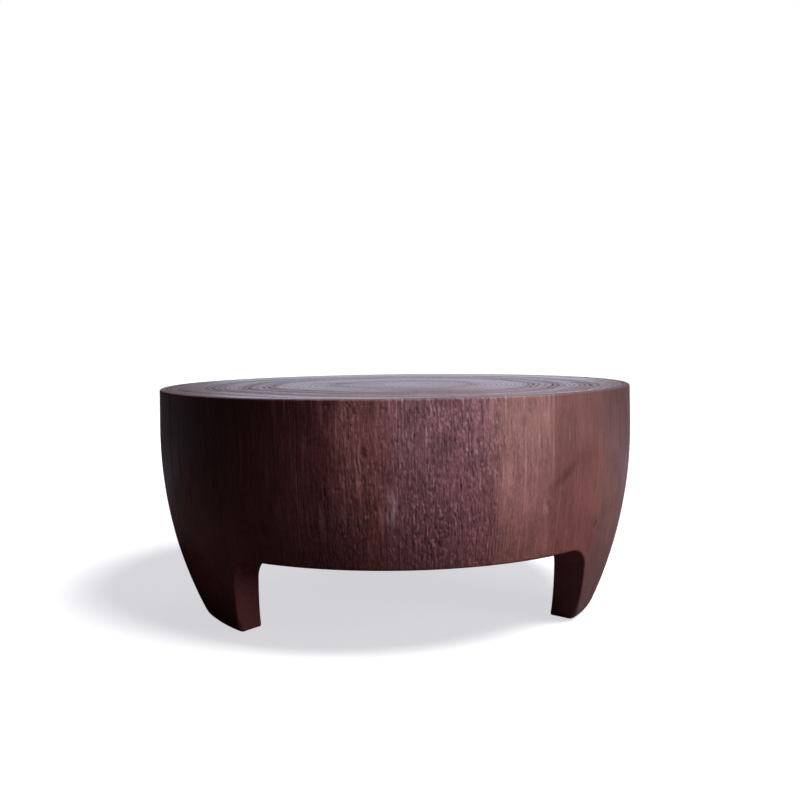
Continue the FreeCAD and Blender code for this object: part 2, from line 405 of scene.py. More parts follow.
def drum_wood(tones):
    """Stained and wire-brushed long grain. The grain attribute holds the distance round the drum,
    the radius and the height, so fibres run up the wall and end in pores on sawn end grain."""
    wood = Finish("stained drum wood", specular=0.25)
    grain = wood.attribute("grain", "Vector")
    # The stain attribute also holds the painted shade, painted bounce light and painted sheen of
    # the zones.
    stain = wood.attribute("stain", "Color")
    brushed = wood.attribute("brushed")
    fibre = wood.cloud(grain, (520, 520, 30), detail=4.0, roughness=0.60)
    streak = wood.cloud(grain, (150, 150, 11))
    fleck = wood.cloud(grain, (420, 420, 130), roughness=0.7)
    dots = wood.cloud(grain, (1100, 1100, 420), detail=2.0)
    mottle = wood.cloud(grain, (30, 30, 16), detail=4.0, roughness=0.6)
    colour = wood.tint(stain, 0.42 + 0.50 * streak + 0.14 * (dots - 0.5) + 0.66 * mottle)

    caught = wood.level(fibre, (0.34, 1.0), (0.48, 0.0)) * (0.10 + 0.20 * brushed)
    caught = caught + wood.level(fleck, (0.34, 1.0), (0.46, 0.0)) * (0.02 + 0.46 * brushed)
    caught = caught + wood.attribute("relief") * 0.55
    colour = wood.mix(caught, colour, wood.tint(stain, 0.20))

    lifted = brushed * (0.33 - 0.13 * brushed) + 0.03
    lifted = wood.level(fibre, (0.53, 0.0), (0.68, 1.0)) * lifted
    lifted = lifted + wood.level(fleck, (0.54, 0.0), (0.66, 1.0)) * (0.01 + 0.46 * brushed)
    lifted = lifted + wood.attribute("raised") * 0.60
    colour = wood.mix(lifted, colour, wood.mix(0.22, wood.tint(stain, 2.2), tones.raised))
    colour = wood.mix(wood.attribute("worn") * 0.75, colour, tones.scuff)

    ends = wood.mix(0.35, wood.tint(tones.russet, 1.12 + 1.12 * streak),
                    wood.tint(stain, 1.5))
    ends = wood.mix(caught, ends, wood.tint(tones.umber, 0.4))
    wood.set("Base Color", wood.mix(wood.attribute("sawn") * 0.75, colour, ends))
    wood.set("Roughness", 0.20 + 0.12 * fibre + 0.36 * brushed)
    wood.bump(0.35 * fibre + 0.75 * fleck * (0.10 + brushed) + 0.2 * streak, 0.0012, 0.75)
    return wood.material


def slab_wood(tones):
    """End grain of the top: rings from the ring attribute, with pores and fine rays. The polar
    attribute holds the angle and the distance from the pith."""
    wood = Finish("greyed slab end grain")
    place = wood.place()
    ring = wood.attribute("ring")
    pores = wood.node("ShaderNodeTexVoronoi", {"feature": "F1"},
                      {"Vector": place, "Scale": 620.0, "Randomness": 1.0})
    pore_dots = wood.level(pores, (0.12, 1.0), (0.34, 0.0))
    rays = wood.cloud(wood.attribute("polar", "Vector"), (420, 14, 1))
    smudge = wood.cloud(place, (7, 7, 7), detail=4.0, roughness=0.6)
    fine = wood.cloud(place, (260, 260, 60), detail=4.0, roughness=0.65)
    # The shade attribute is painted shade, which darkens the top towards its left side.
    brightness = (0.55 + 0.50 * smudge + 0.40 * fine) * wood.attribute("shade")
    colour = wood.mix(ring, wood.tint(tones.slab, brightness), tones.slab_dark)
    colour = wood.mix(wood.attribute("late") * 0.55, colour, wood.tint(tones.slab, 1.9))
    caught = pore_dots * 0.50 + wood.level(rays, (0.36, 0.22), (0.50, 0.0))
    wood.set("Base Color", wood.mix(caught, colour, tones.slab_dark))
    wood.set("Roughness", 0.25 + 0.16 * fine + 0.74 * ring)
    wood.bump(0.5 * fine + 0.35 * (1 - pore_dots) + 0.1 * rays, 0.0009, 0.7)
    return wood.material


def plain_wood(name, colour, along, tones, roughness=0.6):
    """Planed straight-grained wood, with its fibres along one axis of the object."""
    wood = Finish(name, specular=0.3)
    place = wood.place()
    fibre = wood.cloud(place, [12 if axis == along else 520 for axis in "xyz"],
                       detail=4.0, roughness=0.6)
    band = wood.cloud(place, [4 if axis == along else 60 for axis in "xyz"])
    chatter = wood.node("ShaderNodeTexWave",
                        {"wave_type": "BANDS", "bands_direction": along.upper()},
                        {"Vector": place, "Scale": 55.0, "Distortion": 1.2, "Detail": 1.0})
    shade = wood.tint(colour, 0.62 + 0.40 * band + 0.34 * fibre)
    shade = wood.mix(wood.level(fibre, (0.34, 0.75), (0.47, 0.0)), shade, tones.pore)
    wood.set("Base Color", shade)
    wood.set("Roughness", roughness - 0.1 + 0.2 * fibre)
    wood.bump(0.6 * fibre + 0.25 * chatter + 0.2 * band, 0.0006, 0.7)
    return wood.material


def pad_felt(tones):
    """Dense felt: matted short hairs."""
    felt = Finish("dense felt", roughness=0.95, specular=0.1)
    place = felt.place()
    hair = felt.cloud(place, (1400, 1400, 1400), detail=5.0, roughness=0.7, distortion=1.5)
    mat = felt.cloud(place, (160, 160, 160))
    felt.set("Base Color", felt.tint(tones.felt, 0.5 + 0.7 * hair + 0.4 * mat))
    felt.bump(0.7 * hair + 0.3 * mat, 0.0006, 0.9)
    return felt.material


def studio_floor():
    """White floor. The camera sees it pale with the table's shadow on it. Glossy rays see a cool
    share of light behind the table, and all other rays see it dark grey, so that it throws little
    light back up at the table."""
    floor = Finish("pale floor", roughness=0.9, specular=0.0)
    floor.set("Base Color", (0.50, 0.50, 0.50))
    floor.set("Emission Color", (0.96, 0.96, 1.0))
    floor.set("Emission Strength", 0.66)
    seen = floor.node("ShaderNodeLightPath", output="Is Camera Ray")
    glossy = floor.node("ShaderNodeLightPath", output="Is Glossy Ray")
    behind = floor.level(0.5 * floor.along("Y"),
                         (0.25, 0.0), (0.42, 0.95), (0.58, 0.90), (0.70, 0.25))
    side = floor.level(0.5 + 0.25 * floor.along("X"), (0.35, 0.10), (0.65, 0.26))
    dim = floor.node("ShaderNodeBsdfDiffuse", {}, {"Color": (0.052, 0.042, 0.042)})
    sheen = floor.node("ShaderNodeEmission", {}, {"Color": (0.60, 0.64, 1.0)})
    lit = Value(floor, floor.shader.outputs["BSDF"])
    others = floor.mix_shaders(glossy * behind * side, dim, sheen)
    floor.put(floor.tree.nodes["Material Output"].inputs["Surface"],
              floor.mix_shaders(seen, others, lit))
    return floor.material


# Coopered wall

# Finish round the drum: the angle in degrees, the stain, the strength of its colour at the rim
# and at the lower edge, and how rough the brushing is. The strengths also hold painted light: the
# umber zones from -42 to -25 degrees, on the left away from the key lamp, are darkened at the rim
# as painted shade and lightened at the lower edge as painted light bounced from the floor, and the
# two grey zones at 50 and 62 degrees hold a painted sheen and a lighter lower edge of painted
# bounce light.
ZONES = (
    (-42, "umber", 0.60, 2.00, 0.10), (-33, "umber", 0.58, 1.45, 0.10),
    (-25, "umber", 0.72, 1.40, 0.25), (-19, "umber", 0.90, 0.90, 0.50),
    (-14, "russet", 0.84, 0.44, 0.75), (-8, "russet", 0.94, 0.59, 0.60),
    (-4, "mauve", 0.98, 0.63, 0.80), (3, "mauve", 1.00, 0.62, 1.00),
    (9, "mauve", 1.05, 0.68, 1.00), (14, "mauve", 1.06, 0.72, 0.90),
    (18, "tan", 1.00, 0.78, 0.50), (25, "tan", 0.93, 0.80, 0.32),
    (31, "chestnut", 0.94, 1.00, 0.20), (40, "chestnut", 0.94, 1.14, 0.10),
    (50, "ash_and_sheen", 0.80, 1.18, 0.08), (62, "ash_and_sheen", 0.88, 1.44, 0.12),
    (78, "russet", 0.85, 0.80, 0.45), (92, "russet", 0.75, 0.60, 0.60),
    (104, "mauve", 0.85, 0.70, 0.90), (118, "mauve", 0.95, 0.75, 0.80),
    (126, "tan", 0.80, 0.75, 0.40), (140, "chestnut", 0.95, 1.10, 0.25),
    (156, "umber", 1.30, 1.50, 0.35), (170, "russet", 0.80, 0.65, 0.60),
    (188, "russet", 0.95, 0.70, 0.50), (204, "mauve", 0.90, 0.70, 0.85),
    (220, "tan", 0.80, 0.75, 0.40), (238, "chestnut", 0.90, 1.00, 0.20),
    (256, "umber", 1.35, 1.50, 0.35), (272, "russet", 0.70, 0.60, 0.60),
    (288, "umber", 1.00, 2.20, 0.15), (304, "umber", 0.70, 2.30, 0.10))
PLACES, STAINS, AT_RIM, AT_EDGE, BRUSHED = map(np.array, zip(*ZONES))
# Tint of each stain at the lower edge, and that of the stains that aren't listed
LOWER_TINTS = {"umber": (1.0, 1.2, 1.2), "ash_and_sheen": (1.0, 1.0, 1.0)}
LOWER_TINT = (1.0, 0.80, 0.80)
# The change of colour towards the lower edge, part of which is painted light (see the zones): the
# height at which it starts, and its reach
FADE_HEIGHT, FADE_REACH = 0.36, 0.23
# How far noise moves the places of the zones, in degrees
ZONE_RAGGEDNESS = 2.3

# Knots by stave: the angle in degrees, the height, and the reach across and up
KNOTS = {
    1: ((4.2, 0.175, 0.016, 0.020), (11.0, 0.302, 0.007, 0.012)),
    2: ((27.5, 0.205, 0.007, 0.012),),
    3: ((45.0, 0.160, 0.012, 0.016),),
    6: ((107.0, 0.215, 0.014, 0.022),),
    8: ((143.0, 0.285, 0.009, 0.015),),
    10: ((186.0, 0.120, 0.013, 0.020),),
    13: ((247.0, 0.190, 0.016, 0.026),),
    15: ((285.0, 0.240, 0.010, 0.018),),
    17: ((327.0, 0.175, 0.012, 0.018),),
    18: ((349.0, 0.290, 0.008, 0.014),),
}
KNOT_PULL = 0.72
KNOT_RINGS = 34
# Drying checks by stave: the angle in degrees, the height of the middle and the length
CHECKS = {
    1: ((7.5, 0.245, 0.030),),
    4: ((66.0, 0.090, 0.080),),
    7: ((121.0, 0.190, 0.090),),
    9: ((170.0, 0.070, 0.085),),
    12: ((228.0, 0.250, 0.080),),
    14: ((263.0, 0.300, 0.060),),
    16: ((301.0, 0.250, 0.090), (304.5, 0.215, 0.060), (309.0, 0.080, 0.070)),
    18: ((341.0, 0.230, 0.040),),
}
CHECK_WIDTH, CHECK_DEPTH, CHECK_WAVER = 0.0007, 0.0014, 0.0011
# Scuff and smear on the front: the angle and the width in degrees, the height and the reach up
SCUFF = (-5.7, 1.2, 0.216, 0.020)
SMEAR = (32.5, 1.9, 0.248, 0.020)
# How far the smear leans, in degrees for a metre of height
SMEAR_LEAN = 190

# Noise on the wall, by metres round the drum and up
SWING = Pattern(0.045, 0.10, seed=3)
HOLLOWS = Pattern(0.085, 0.13, seed=0, layers=2)
WANDER = Pattern(0.012, 0.022, seed=13)
GROOVES = Pattern(0.0042, 0.040, seed=11)
FINE_GRAIN = Pattern(0.0021, 0.020, seed=23)
PITS = Pattern(0.0033, 0.0060, seed=31, layers=2)
FLECKS = Pattern(0.0029, 0.0068, seed=41, layers=2)
STREAKS = Pattern(0.0036, 0.050, seed=47)
ROUGH_PATCHES = Pattern(0.034, 0.040, seed=71, layers=3)
SCUFF_FIBRES = Pattern(0.0028, 0.02, seed=5)
SCRAPER_LINES = Pattern(0.004, 0.06, seed=51)
PLANED_WAVES = Pattern(0.03, 0.05, seed=61, layers=2)

# Points of a stave's section, and how its sections are spread
LIP_POINTS, ROUNDING_POINTS, EDGE_POINTS, INNER_POINTS = 4, 7, 7, 26
EDGE_SAMPLES = 4001
CLIMB_WEIGHT = 0.45
SEAM_SPACING = np.array([0.0004, 0.0009, 0.0016])
SETTLING_ROUNDS = 8
SEAM_WIDTH = 0.0007


def side_radius(height, sizes, top, foot):
    """Radius over the height: upright down to the shoulder, then one arc, tangent to it there."""
    drop_to_sole = TABLE_HEIGHT - sizes.upper_wall - SOLE_HEIGHT
    inset = top - foot
    arc = (drop_to_sole ** 2 + inset ** 2) / (2 * inset)
    drop = np.maximum(TABLE_HEIGHT - sizes.upper_wall - height, 0.0)
    return top - arc + np.sqrt(arc ** 2 - drop ** 2)


def outer_radius(height, sizes):
    """Radius of the outer face before it is carved."""
    return side_radius(height, sizes, sizes.rim_radius, sizes.rim_radius - sizes.foot_inset)


def lower_edge(angle, radius_of, sizes):
    """Height of the sawn edge at an angle, for a face whose radius is a function of the height.
    Across the side of a foot the height is read from the opening's outline, which is a leaning
    line with a round corner above it and a rounded toe below it. Both are arcs that touch the
    line and run out level, above or below their centre."""
    foot_radius = sizes.rim_radius - sizes.foot_inset
    apron_radius = outer_radius(APRON_HEIGHT, sizes)
    half_sole = sizes.leg_width_at_sole / (2 * foot_radius)
    half_top = sizes.leg_width_at_top / (2 * apron_radius)
    saw = (half_sole + half_top) / 2
    along_sole = foot_radius * math.sin(half_sole - saw)
    along_top = apron_radius * math.sin(half_top - saw)
    lean = (along_top - along_sole) / (APRON_HEIGHT - SOLE_HEIGHT)
    slant = math.sqrt(1 + lean ** 2)
    from_foot = np.abs((angle % FOOT_PITCH) - FOOT_PITCH / 2)
    height = np.full_like(angle, APRON_HEIGHT / 2)
    for _ in range(SETTLING_ROUNDS):
        t = radius_of(height) * np.sin(np.minimum(from_foot - saw, math.pi / 2))
        height = SOLE_HEIGHT + (t - along_sole) / lean
        for level, side, radius in ((APRON_HEIGHT, -1, sizes.corner_rounding),
                                    (SOLE_HEIGHT, 1, sizes.toe_rounding)):
            centre = level + side * radius
            end = along_sole + lean * (centre - SOLE_HEIGHT) - side * radius * slant
            meets = end + side * radius / slant
            arc = centre - side * np.sqrt(np.maximum(radius ** 2 - (t - end) ** 2, 0.0))
            height = np.where(side * (t - meets) < 0, arc, height)
            height = np.where(side * (t - end) < 0, level, height)
    return height


def column_angles(start, end, sizes):
    """Angles of a stave's sections: evenly spread along its lower edge, which climbs at a foot,
    with a few close to both seams."""
    fine = np.linspace(start, end, EDGE_SAMPLES)
    edge = lower_edge(fine, lambda height: outer_radius(height, sizes), sizes)
    step = np.hypot(np.diff(fine) * sizes.rim_radius, CLIMB_WEIGHT * np.diff(edge))
    length = np.concatenate([[0.0], np.cumsum(step)])
    even = np.interp(np.linspace(0.0, length[-1], sizes.columns), length, fine)
    near = SEAM_SPACING / sizes.rim_radius
    return np.unique(np.round(np.concatenate([even, start + near, end - near]), 7))


def zone_field(values, angle, height):
    """Value round the drum, joined by a smooth step between the places of the zones. Noise bends
    the places, so that no edge between two zones is straight."""
    bent = np.degrees(angle) + ZONE_RAGGEDNESS * layered(height / 0.045, angle * 9, 81, 4)
    bent = (bent - PLACES[0]) % FULL_TURN + PLACES[0]
    edges = np.append(PLACES, PLACES[0] + FULL_TURN)
    before = np.clip(np.searchsorted(edges, bent, side="right") - 1, 0, len(PLACES) - 1)
    share = ease((bent - edges[before]) / (edges[before + 1] - edges[before]))
    if values.ndim == 2:
        share = share[..., None]
    return values[before] * (1 - share) + values[(before + 1) % len(PLACES)] * share


def brushing(angle, height):
    """How rough the brushing is, from 0 to 1."""
    return zone_field(BRUSHED, angle, height)


def stain_and_painted_light(number, angle, height, tones):
    """Colour of the finished drum: the stain, a little lighter or darker on each stave, with cloudy
    patches and a change of tone towards the lower edge, together with the painted shade, the
    painted bounce light and the painted sheen that the zones hold."""
    stains = np.array([getattr(tones, stain) for stain in STAINS])
    tints = np.array([LOWER_TINTS.get(stain, LOWER_TINT) for stain in STAINS])
    upper = zone_field(stains * AT_RIM[:, None], angle, height)
    lower = zone_field(stains * AT_EDGE[:, None] * tints, angle, height)
    down = ease((FADE_HEIGHT - height) / FADE_REACH)[..., None]
    board = 1 + 0.05 * lattice(number, 7, 3)
    cloud = 1 + 0.24 * layered(angle * 6, height / 0.070, 93, 4)
    patches = ease(layered(angle * 12, height / 0.050, 57, 4) * 1.5 - 0.10)
    smudge = 1 - (0.06 + 0.34 * brushing(angle, height)) * patches
    return (upper * (1 - down) + lower * down) * (board * cloud * smudge)[..., None]


def flow_round_knots(arc, height, knots, radius):
    """Distance round the drum, bent so that fibres part around each knot: near a knot the distance
    from its middle shrinks by a bell curve. Also returns how much of a knot a place is."""
    core = np.zeros_like(arc)
    for place, level, width, tall in knots:
        middle = math.radians(place) * radius
        far = ((arc - middle) / width) ** 2 + ((height - level) / tall) ** 2
        arc = middle + (arc - middle) * (1 - KNOT_PULL * np.exp(-far / 1.6))
        core = np.maximum(core, np.exp(-4 * far))
    return arc, core


def front_scuff(angle, height, along):
    """The small scuff on the front of the wall: a bell curve broken up by the fibres."""
    place, width, level, tall = SCUFF
    off = (np.degrees(angle) + FULL_TURN / 2) % FULL_TURN - FULL_TURN / 2 - place
    fibres = 0.45 + 0.9 * SCUFF_FIBRES.over(along, height)
    return np.clip(1.5 * bell(off / width, (height - level) / tall) * fibres, 0, 1)


def front_smear(angle, height):
    """The leaning smear of dark stain on the front of the wall: a bell curve across its line."""
    place, width, level, tall = SMEAR
    off = np.degrees(angle) - place - (height - level) * SMEAR_LEAN
    off = off + 0.7 * waver(height, 0.006, 8)
    return bell(off / width, (height - level) / tall)


def wall_relief(angle, height, number, sizes):
    """How deep the outer face lies under the turned form, in metres: broad hollows of the hand
    plane, brushed grooves and pits between fibres, knots and drying checks. Returns the depth,
    the bent distance round the drum, and from 0 to 1 the stain caught in the depth, the pale
    raised fibre and the scuff."""
    arc = angle * sizes.rim_radius
    brushed = brushing(angle, height)
    along, knot = flow_round_knots(arc, height, KNOTS.get(number, ()), sizes.rim_radius)
    along = along + 0.0022 * SWING.over(arc, height, number)
    wander = along + 0.0009 * WANDER.over(arc, height, number) * brushed
    groove = (1 - np.abs(GROOVES.over(wander, height, number))) ** 5
    pits = PITS.above(0.20, wander, height, number)
    flecks = FLECKS.above(0.24, wander, height, number)
    streaks = STREAKS.above(0.30, along, height, number)
    knot_rings = 0.5 + 0.5 * np.cos(
        KNOT_RINGS * np.sqrt(np.maximum(-np.log(np.maximum(knot, 1e-6)), 0)))

    caught = (0.10 + 0.35 * brushed) * groove + 1.3 * pits * brushed + 0.8 * knot * knot_rings
    raised = 2.9 * brushed ** 2 * flecks + 3.4 * brushed * np.clip(1.15 - brushed, 0, 1) * streaks
    strength = 0.62 + 0.38 * ease((height - 0.135) / 0.07)
    strength = strength * (0.55 + 0.90 * ease(0.5 + 0.9 * ROUGH_PATCHES.over(along, height)))
    caught, raised = caught * strength, np.clip(raised * strength, 0, 1)

    depth = 0.00085 * HOLLOWS.share(arc, height, number * 5)
    depth = depth + (0.00008 + 0.00030 * brushed) * groove + 0.00100 * brushed * pits
    depth = depth + (0.00006 + 0.00016 * brushed) * FINE_GRAIN.share(wander, height, number)
    depth = depth + (0.0008 + 0.0006 * knot_rings) * knot + 0.00045 * (1 - raised) * brushed
    for place, level, tall in CHECKS.get(number, ()):
        middle = math.radians(place) * sizes.rim_radius + CHECK_WAVER * waver(height, 0.011, place)
        reach = ease(1 - np.abs(height - level) / (tall / 2))
        check = bell((arc - middle) / CHECK_WIDTH) * reach
        depth = depth + CHECK_DEPTH * check
        caught = caught + 0.9 * check
    caught = np.clip(caught + 0.85 * front_smear(angle, height), 0, 1)
    return depth, along, caught, raised, front_scuff(angle, height, along)


def stave_section(angle, middle, sizes):
    """Stretches of a stave's section in their order round it, each as rows of radius and rows of
    height with a column for every angle: the lip, the rounded rim, the wall, the eased arris, the
    sawn edge, the heel, the inner face, which is flat across, and the seat of the slab. On a
    rounding, radius and height follow the sine and the cosine of a quarter turn. Also returns
    the height of the sawn edge."""
    rim, rounding, arris = sizes.rim_radius, sizes.rim_rounding, sizes.arris
    bore = rim - sizes.wall_at_rim
    heel = rim - sizes.foot_inset - sizes.wall_at_sole
    rebate = rim - sizes.lip_width
    wall_top = TABLE_HEIGHT - rounding
    flat = 1 / np.cos(angle - middle)

    def outer(height):
        return outer_radius(height, sizes)

    def inner(height):
        return side_radius(height, sizes, bore, heel) * flat

    low_out = lower_edge(angle, outer, sizes)
    low_in = lower_edge(angle, inner, sizes)
    climb = np.gradient(low_out, angle * rim)
    arris_tall = np.minimum(arris * np.sqrt(1 + climb ** 2), (wall_top - low_out) * 0.4)
    heel_tall, heel_wide = arris_tall / 2, arris / 2
    sole_share = ease(1 - (low_out - SOLE_HEIGHT) / (3 * sizes.sole_rounding))
    arris_tall = arris_tall + (sizes.sole_rounding - arris) * sole_share
    arris_wide = arris + (sizes.sole_rounding - arris) * sole_share

    ones = np.ones_like(angle)
    lip = np.linspace(0, 1, LIP_POINTS)[:-1, None] * ones
    quarter = np.linspace(0, math.pi / 2, ROUNDING_POINTS)[:, None] * ones
    down = np.linspace(0, 1, sizes.rows)[1:, None]
    under = np.linspace(0, 1, EDGE_POINTS)[1:-1, None]
    up = np.linspace(0, 1, INNER_POINTS)[1:, None]
    wall_z = wall_top + (low_out + arris_tall - wall_top) * down
    arris_z = low_out + arris_tall * (1 - np.sin(quarter[1:]))
    arris_r = outer(arris_z) - arris_wide * (1 - np.cos(quarter[1:]))
    edge_out, edge_in = arris_r[-1], inner(low_in) + heel_wide
    heel_z = low_in + heel_tall * (1 - np.cos(quarter))
    inner_z = low_in + heel_tall + (SEAT_HEIGHT - low_in - heel_tall) * up
    return low_out, {
        "lip": (rebate + (rim - rounding - rebate) * lip, TABLE_HEIGHT + 0 * lip),
        "rim": (rim - rounding + rounding * np.sin(quarter), wall_top + rounding * np.cos(quarter)),
        "wall": (outer(wall_z), wall_z),
        "arris": (arris_r, arris_z),
        "edge": (edge_out + (edge_in - edge_out) * under, low_out + (low_in - low_out) * under),
        "heel": (inner(heel_z) + heel_wide * (1 - np.sin(quarter)), heel_z),
        "inner": (inner(inner_z), inner_z),
        "seat": (rebate * ones[None], SEAT_HEIGHT * ones[None]),
    }


def stave_surface(number, sizes, tones):
    """Closed surface of one stave: its section at every angle from seam to seam, carved by the
    relief on the outer side and planed on the inner one. Returns the points, the faces and the
    values that its finish reads."""
    end = sizes.first_seam + STAVE_PITCH * (number - 1)
    start = end - STAVE_PITCH
    angle = column_angles(start, end, sizes)
    low_out, section = stave_section(angle, (start + end) / 2, sizes)
    radius = np.concatenate([radii for radii, _ in section.values()])
    height = np.concatenate([heights for _, heights in section.values()])
    counts = [len(heights) for _, heights in section.values()]
    rows = {name: slice(stop - count, stop)
            for name, count, stop in zip(section, counts, np.cumsum(counts))}
    turn = np.broadcast_to(angle, radius.shape)
    arc = turn * sizes.rim_radius

    carved, sawn = np.zeros(radius.shape), np.zeros(radius.shape)
    fade = np.linspace(1, 0, len(section["arris"][1]), endpoint=False)[:, None]
    carved[rows["rim"]] = np.linspace(0.25, 1, len(section["rim"][1]))[:, None]
    carved[rows["wall"]] = 1
    carved[rows["arris"]] = fade
    sawn[rows["arris"]] = 1 - fade
    sawn[rows["edge"]] = sawn[rows["heel"]] = 1
    sawn[rows["inner"]] = 0.7

    depth, along, caught, raised, worn = wall_relief(turn, height, number, sizes)
    seam = bell(np.minimum(turn - start, end - turn) * sizes.rim_radius / SEAM_WIDTH)
    proud = 0.00012 * (0.5 + 0.5 * lattice(number, 2, 5))
    radius = radius - (depth + proud + 0.0002 * seam) * carved
    lines = SCRAPER_LINES.share(arc, height, number)
    waves = PLANED_WAVES.share(arc, height, number)
    radius[rows["inner"]] += (0.0003 * lines + 0.0006 * waves)[rows["inner"]]
    flat_edge = (sawn == 1) & (height <= low_out + 0.0004) & (height > SOLE_HEIGHT + 0.03)
    height = height + np.where(flat_edge, 0.0007 * waves + 0.0004 * lines, 0.0)

    points = np.stack([radius * np.sin(turn), -radius * np.cos(turn), height], axis=-1)
    count, columns = radius.shape
    first = np.arange(count) * columns
    caps = [first.tolist(), (first[::-1] + columns - 1).tolist()]
    faces = grid_faces(count, columns, True).tolist() + caps
    # This colour also holds painted shade on the left, painted light bounced from the floor at the
    # lower edge, and a painted sheen at the right edge.
    stain = stain_and_painted_light(number, turn, height, tones)
    on_lip = ease((height - TABLE_HEIGHT + sizes.rim_rounding * 0.6) / 0.001)[..., None]
    stain = stain * (1 - on_lip) + np.array(tones.slab) * 0.9 * on_lip
    return points, faces, {
        "grain": np.stack([along + 1.7 * number, radius, height], axis=-1),
        "relief": np.clip(caught * carved + 0.10 * seam * (carved > 0), 0, 1),
        "raised": raised * carved,
        "sawn": sawn,
        "worn": worn * carved,
        "brushed": brushing(turn, height) * (1 - sawn),
        "stain": np.concatenate([stain, np.ones(turn.shape + (1,))], axis=-1),
    }


class DRUM_OT_staves(bpy.types.Operator):
    """Builds the staves of the coopered wall"""
    bl_idname = "drum.staves"
    bl_label = "Staves"

    def execute(self, context):
        sizes, tones = context.scene.drum_sizes, context.scene.drum_tones
        material = drum_wood(tones)
        for number, name in enumerate(STAVES, 1):
            points, faces, marks = stave_surface(number, sizes, tones)
            piece = new_piece("carved_" + name, points, faces)
            for mark, values in marks.items():
                set_attribute(piece, mark, values)
            show_as(piece, name, material)
        return {"FINISHED"}


# Cross-cut slab

PITH = np.array([0.012, -0.028])
RING_SPACING = 0.0085
RING_DEPTH = 0.0016
# Share of the slab's radius, width and weight of the darker bands of rings
RING_BANDS = ((0.31, 0.030, 0.35), (0.585, 0.020, 0.65), (0.69, 0.030, 0.80),
              (0.825, 0.045, 0.90), (0.965, 0.012, 0.50))
# Checks that run out from the pith: the angle in degrees, and where each starts and ends
RADIAL_CHECKS = ((25.0, 0.02, 0.16), (148.0, 0.03, 0.20))
RADIAL_CHECK_WIDTH, RADIAL_CHECK_WAVER = 0.0011, 0.0025
# Middle and reach of a patch with wild grain
FIGURE = (0.05, -0.25)
FIGURE_REACH = (0.07, 0.06)

# Noise on the slab, by metres across and along
BROAD_WARP = Pattern(0.11, 0.11, seed=2, layers=3)
SMALL_WARP = Pattern(0.036, 0.036, seed=44, layers=3)
FIGURE_WARP = Pattern(0.024, 0.020, seed=33, layers=3)
SLAB_HOLLOWS = Pattern(0.09, 0.09, seed=12, layers=2)
GRIT = Pattern(0.004, 0.004, seed=14)
PAINTED_SHADE_SWING = Pattern(0.12, 0.12, seed=6)

# Points of the slab: round the edge, and from the middle out, closer together from a share on
SLAB_TURNS = 400
INNER_SHARE, INNER_RINGS, OUTER_RINGS = 0.45, 66, 161
UNDERSIDE_STATIONS = 33
CURVE_POINTS, FLAT_POINTS = 12, 14
CURVE_REACH = 0.9
# Clearance of the line across the underside from the round edge
EDGE_CLEARANCE = 0.0001


def ring_relief(x, y):
    """Growth rings of the slab. The distance from the off-centre pith is warped by noise and cut
    into rings of uneven width; early wood is brushed out and late wood stands. Returns the depth,
    the dark share and the pale share."""
    px, py = x - PITH[0], y - PITH[1]
    turn = np.arctan2(py, px)
    lobes = 1 + 0.05 * np.sin(2 * turn + 0.6) + 0.03 * np.sin(3 * turn + 2.0)
    lobes = lobes + 0.012 * np.sin(7 * turn)
    warped = np.hypot(px, py) * lobes + 0.009 * BROAD_WARP.over(x, y)
    figured = bell((x - FIGURE[0]) / FIGURE_REACH[0], (y - FIGURE[1]) / FIGURE_REACH[1])
    warped = warped + 0.014 * figured * FIGURE_WARP.over(x, y) + 0.0030 * SMALL_WARP.over(x, y)
    phase = warped / RING_SPACING + 1.2 * waver(warped, 0.045, 9)
    whole = np.floor(phase)
    part = phase - whole
    strength = 0.5 + 0.5 * lattice(whole, 0 * whole, 4)
    band = 0.8 * figured
    for place, width, weight in RING_BANDS:
        band = np.maximum(band, weight * bell((warped / SLAB_RADIUS - place) / width))
    early = ease(1 - part / 0.45) * (0.35 + 0.65 * strength)
    early = np.clip(early * (0.45 + 1.3 * band), 0, 1)
    late = ease((part - 0.62) / 0.3) * (0.4 + 0.6 * (1 - strength))
    depth = RING_DEPTH * early + 0.0003 * band
    depth = depth + 0.0004 * SLAB_HOLLOWS.share(x, y) + 0.00022 * GRIT.share(x, y)
    dark = 0.92 * early + 0.20 * (0.5 + 0.5 * waver(warped, 0.06, 21)) + 0.22 * band
    for place, inner, outer in RADIAL_CHECKS:
        direction = math.radians(place)
        reach = px * math.cos(direction) + py * math.sin(direction)
        off = py * math.cos(direction) - px * math.sin(direction)
        off = off + RADIAL_CHECK_WAVER * waver(reach, 0.02, place)
        inside = ease((reach - inner) / 0.03) * ease((outer - reach) / 0.05)
        check = bell(off / RADIAL_CHECK_WIDTH) * inside
        depth = depth + 0.0016 * check
        dark = dark + check
    return depth, np.clip(dark, 0, 1), np.clip(late, 0, 1)


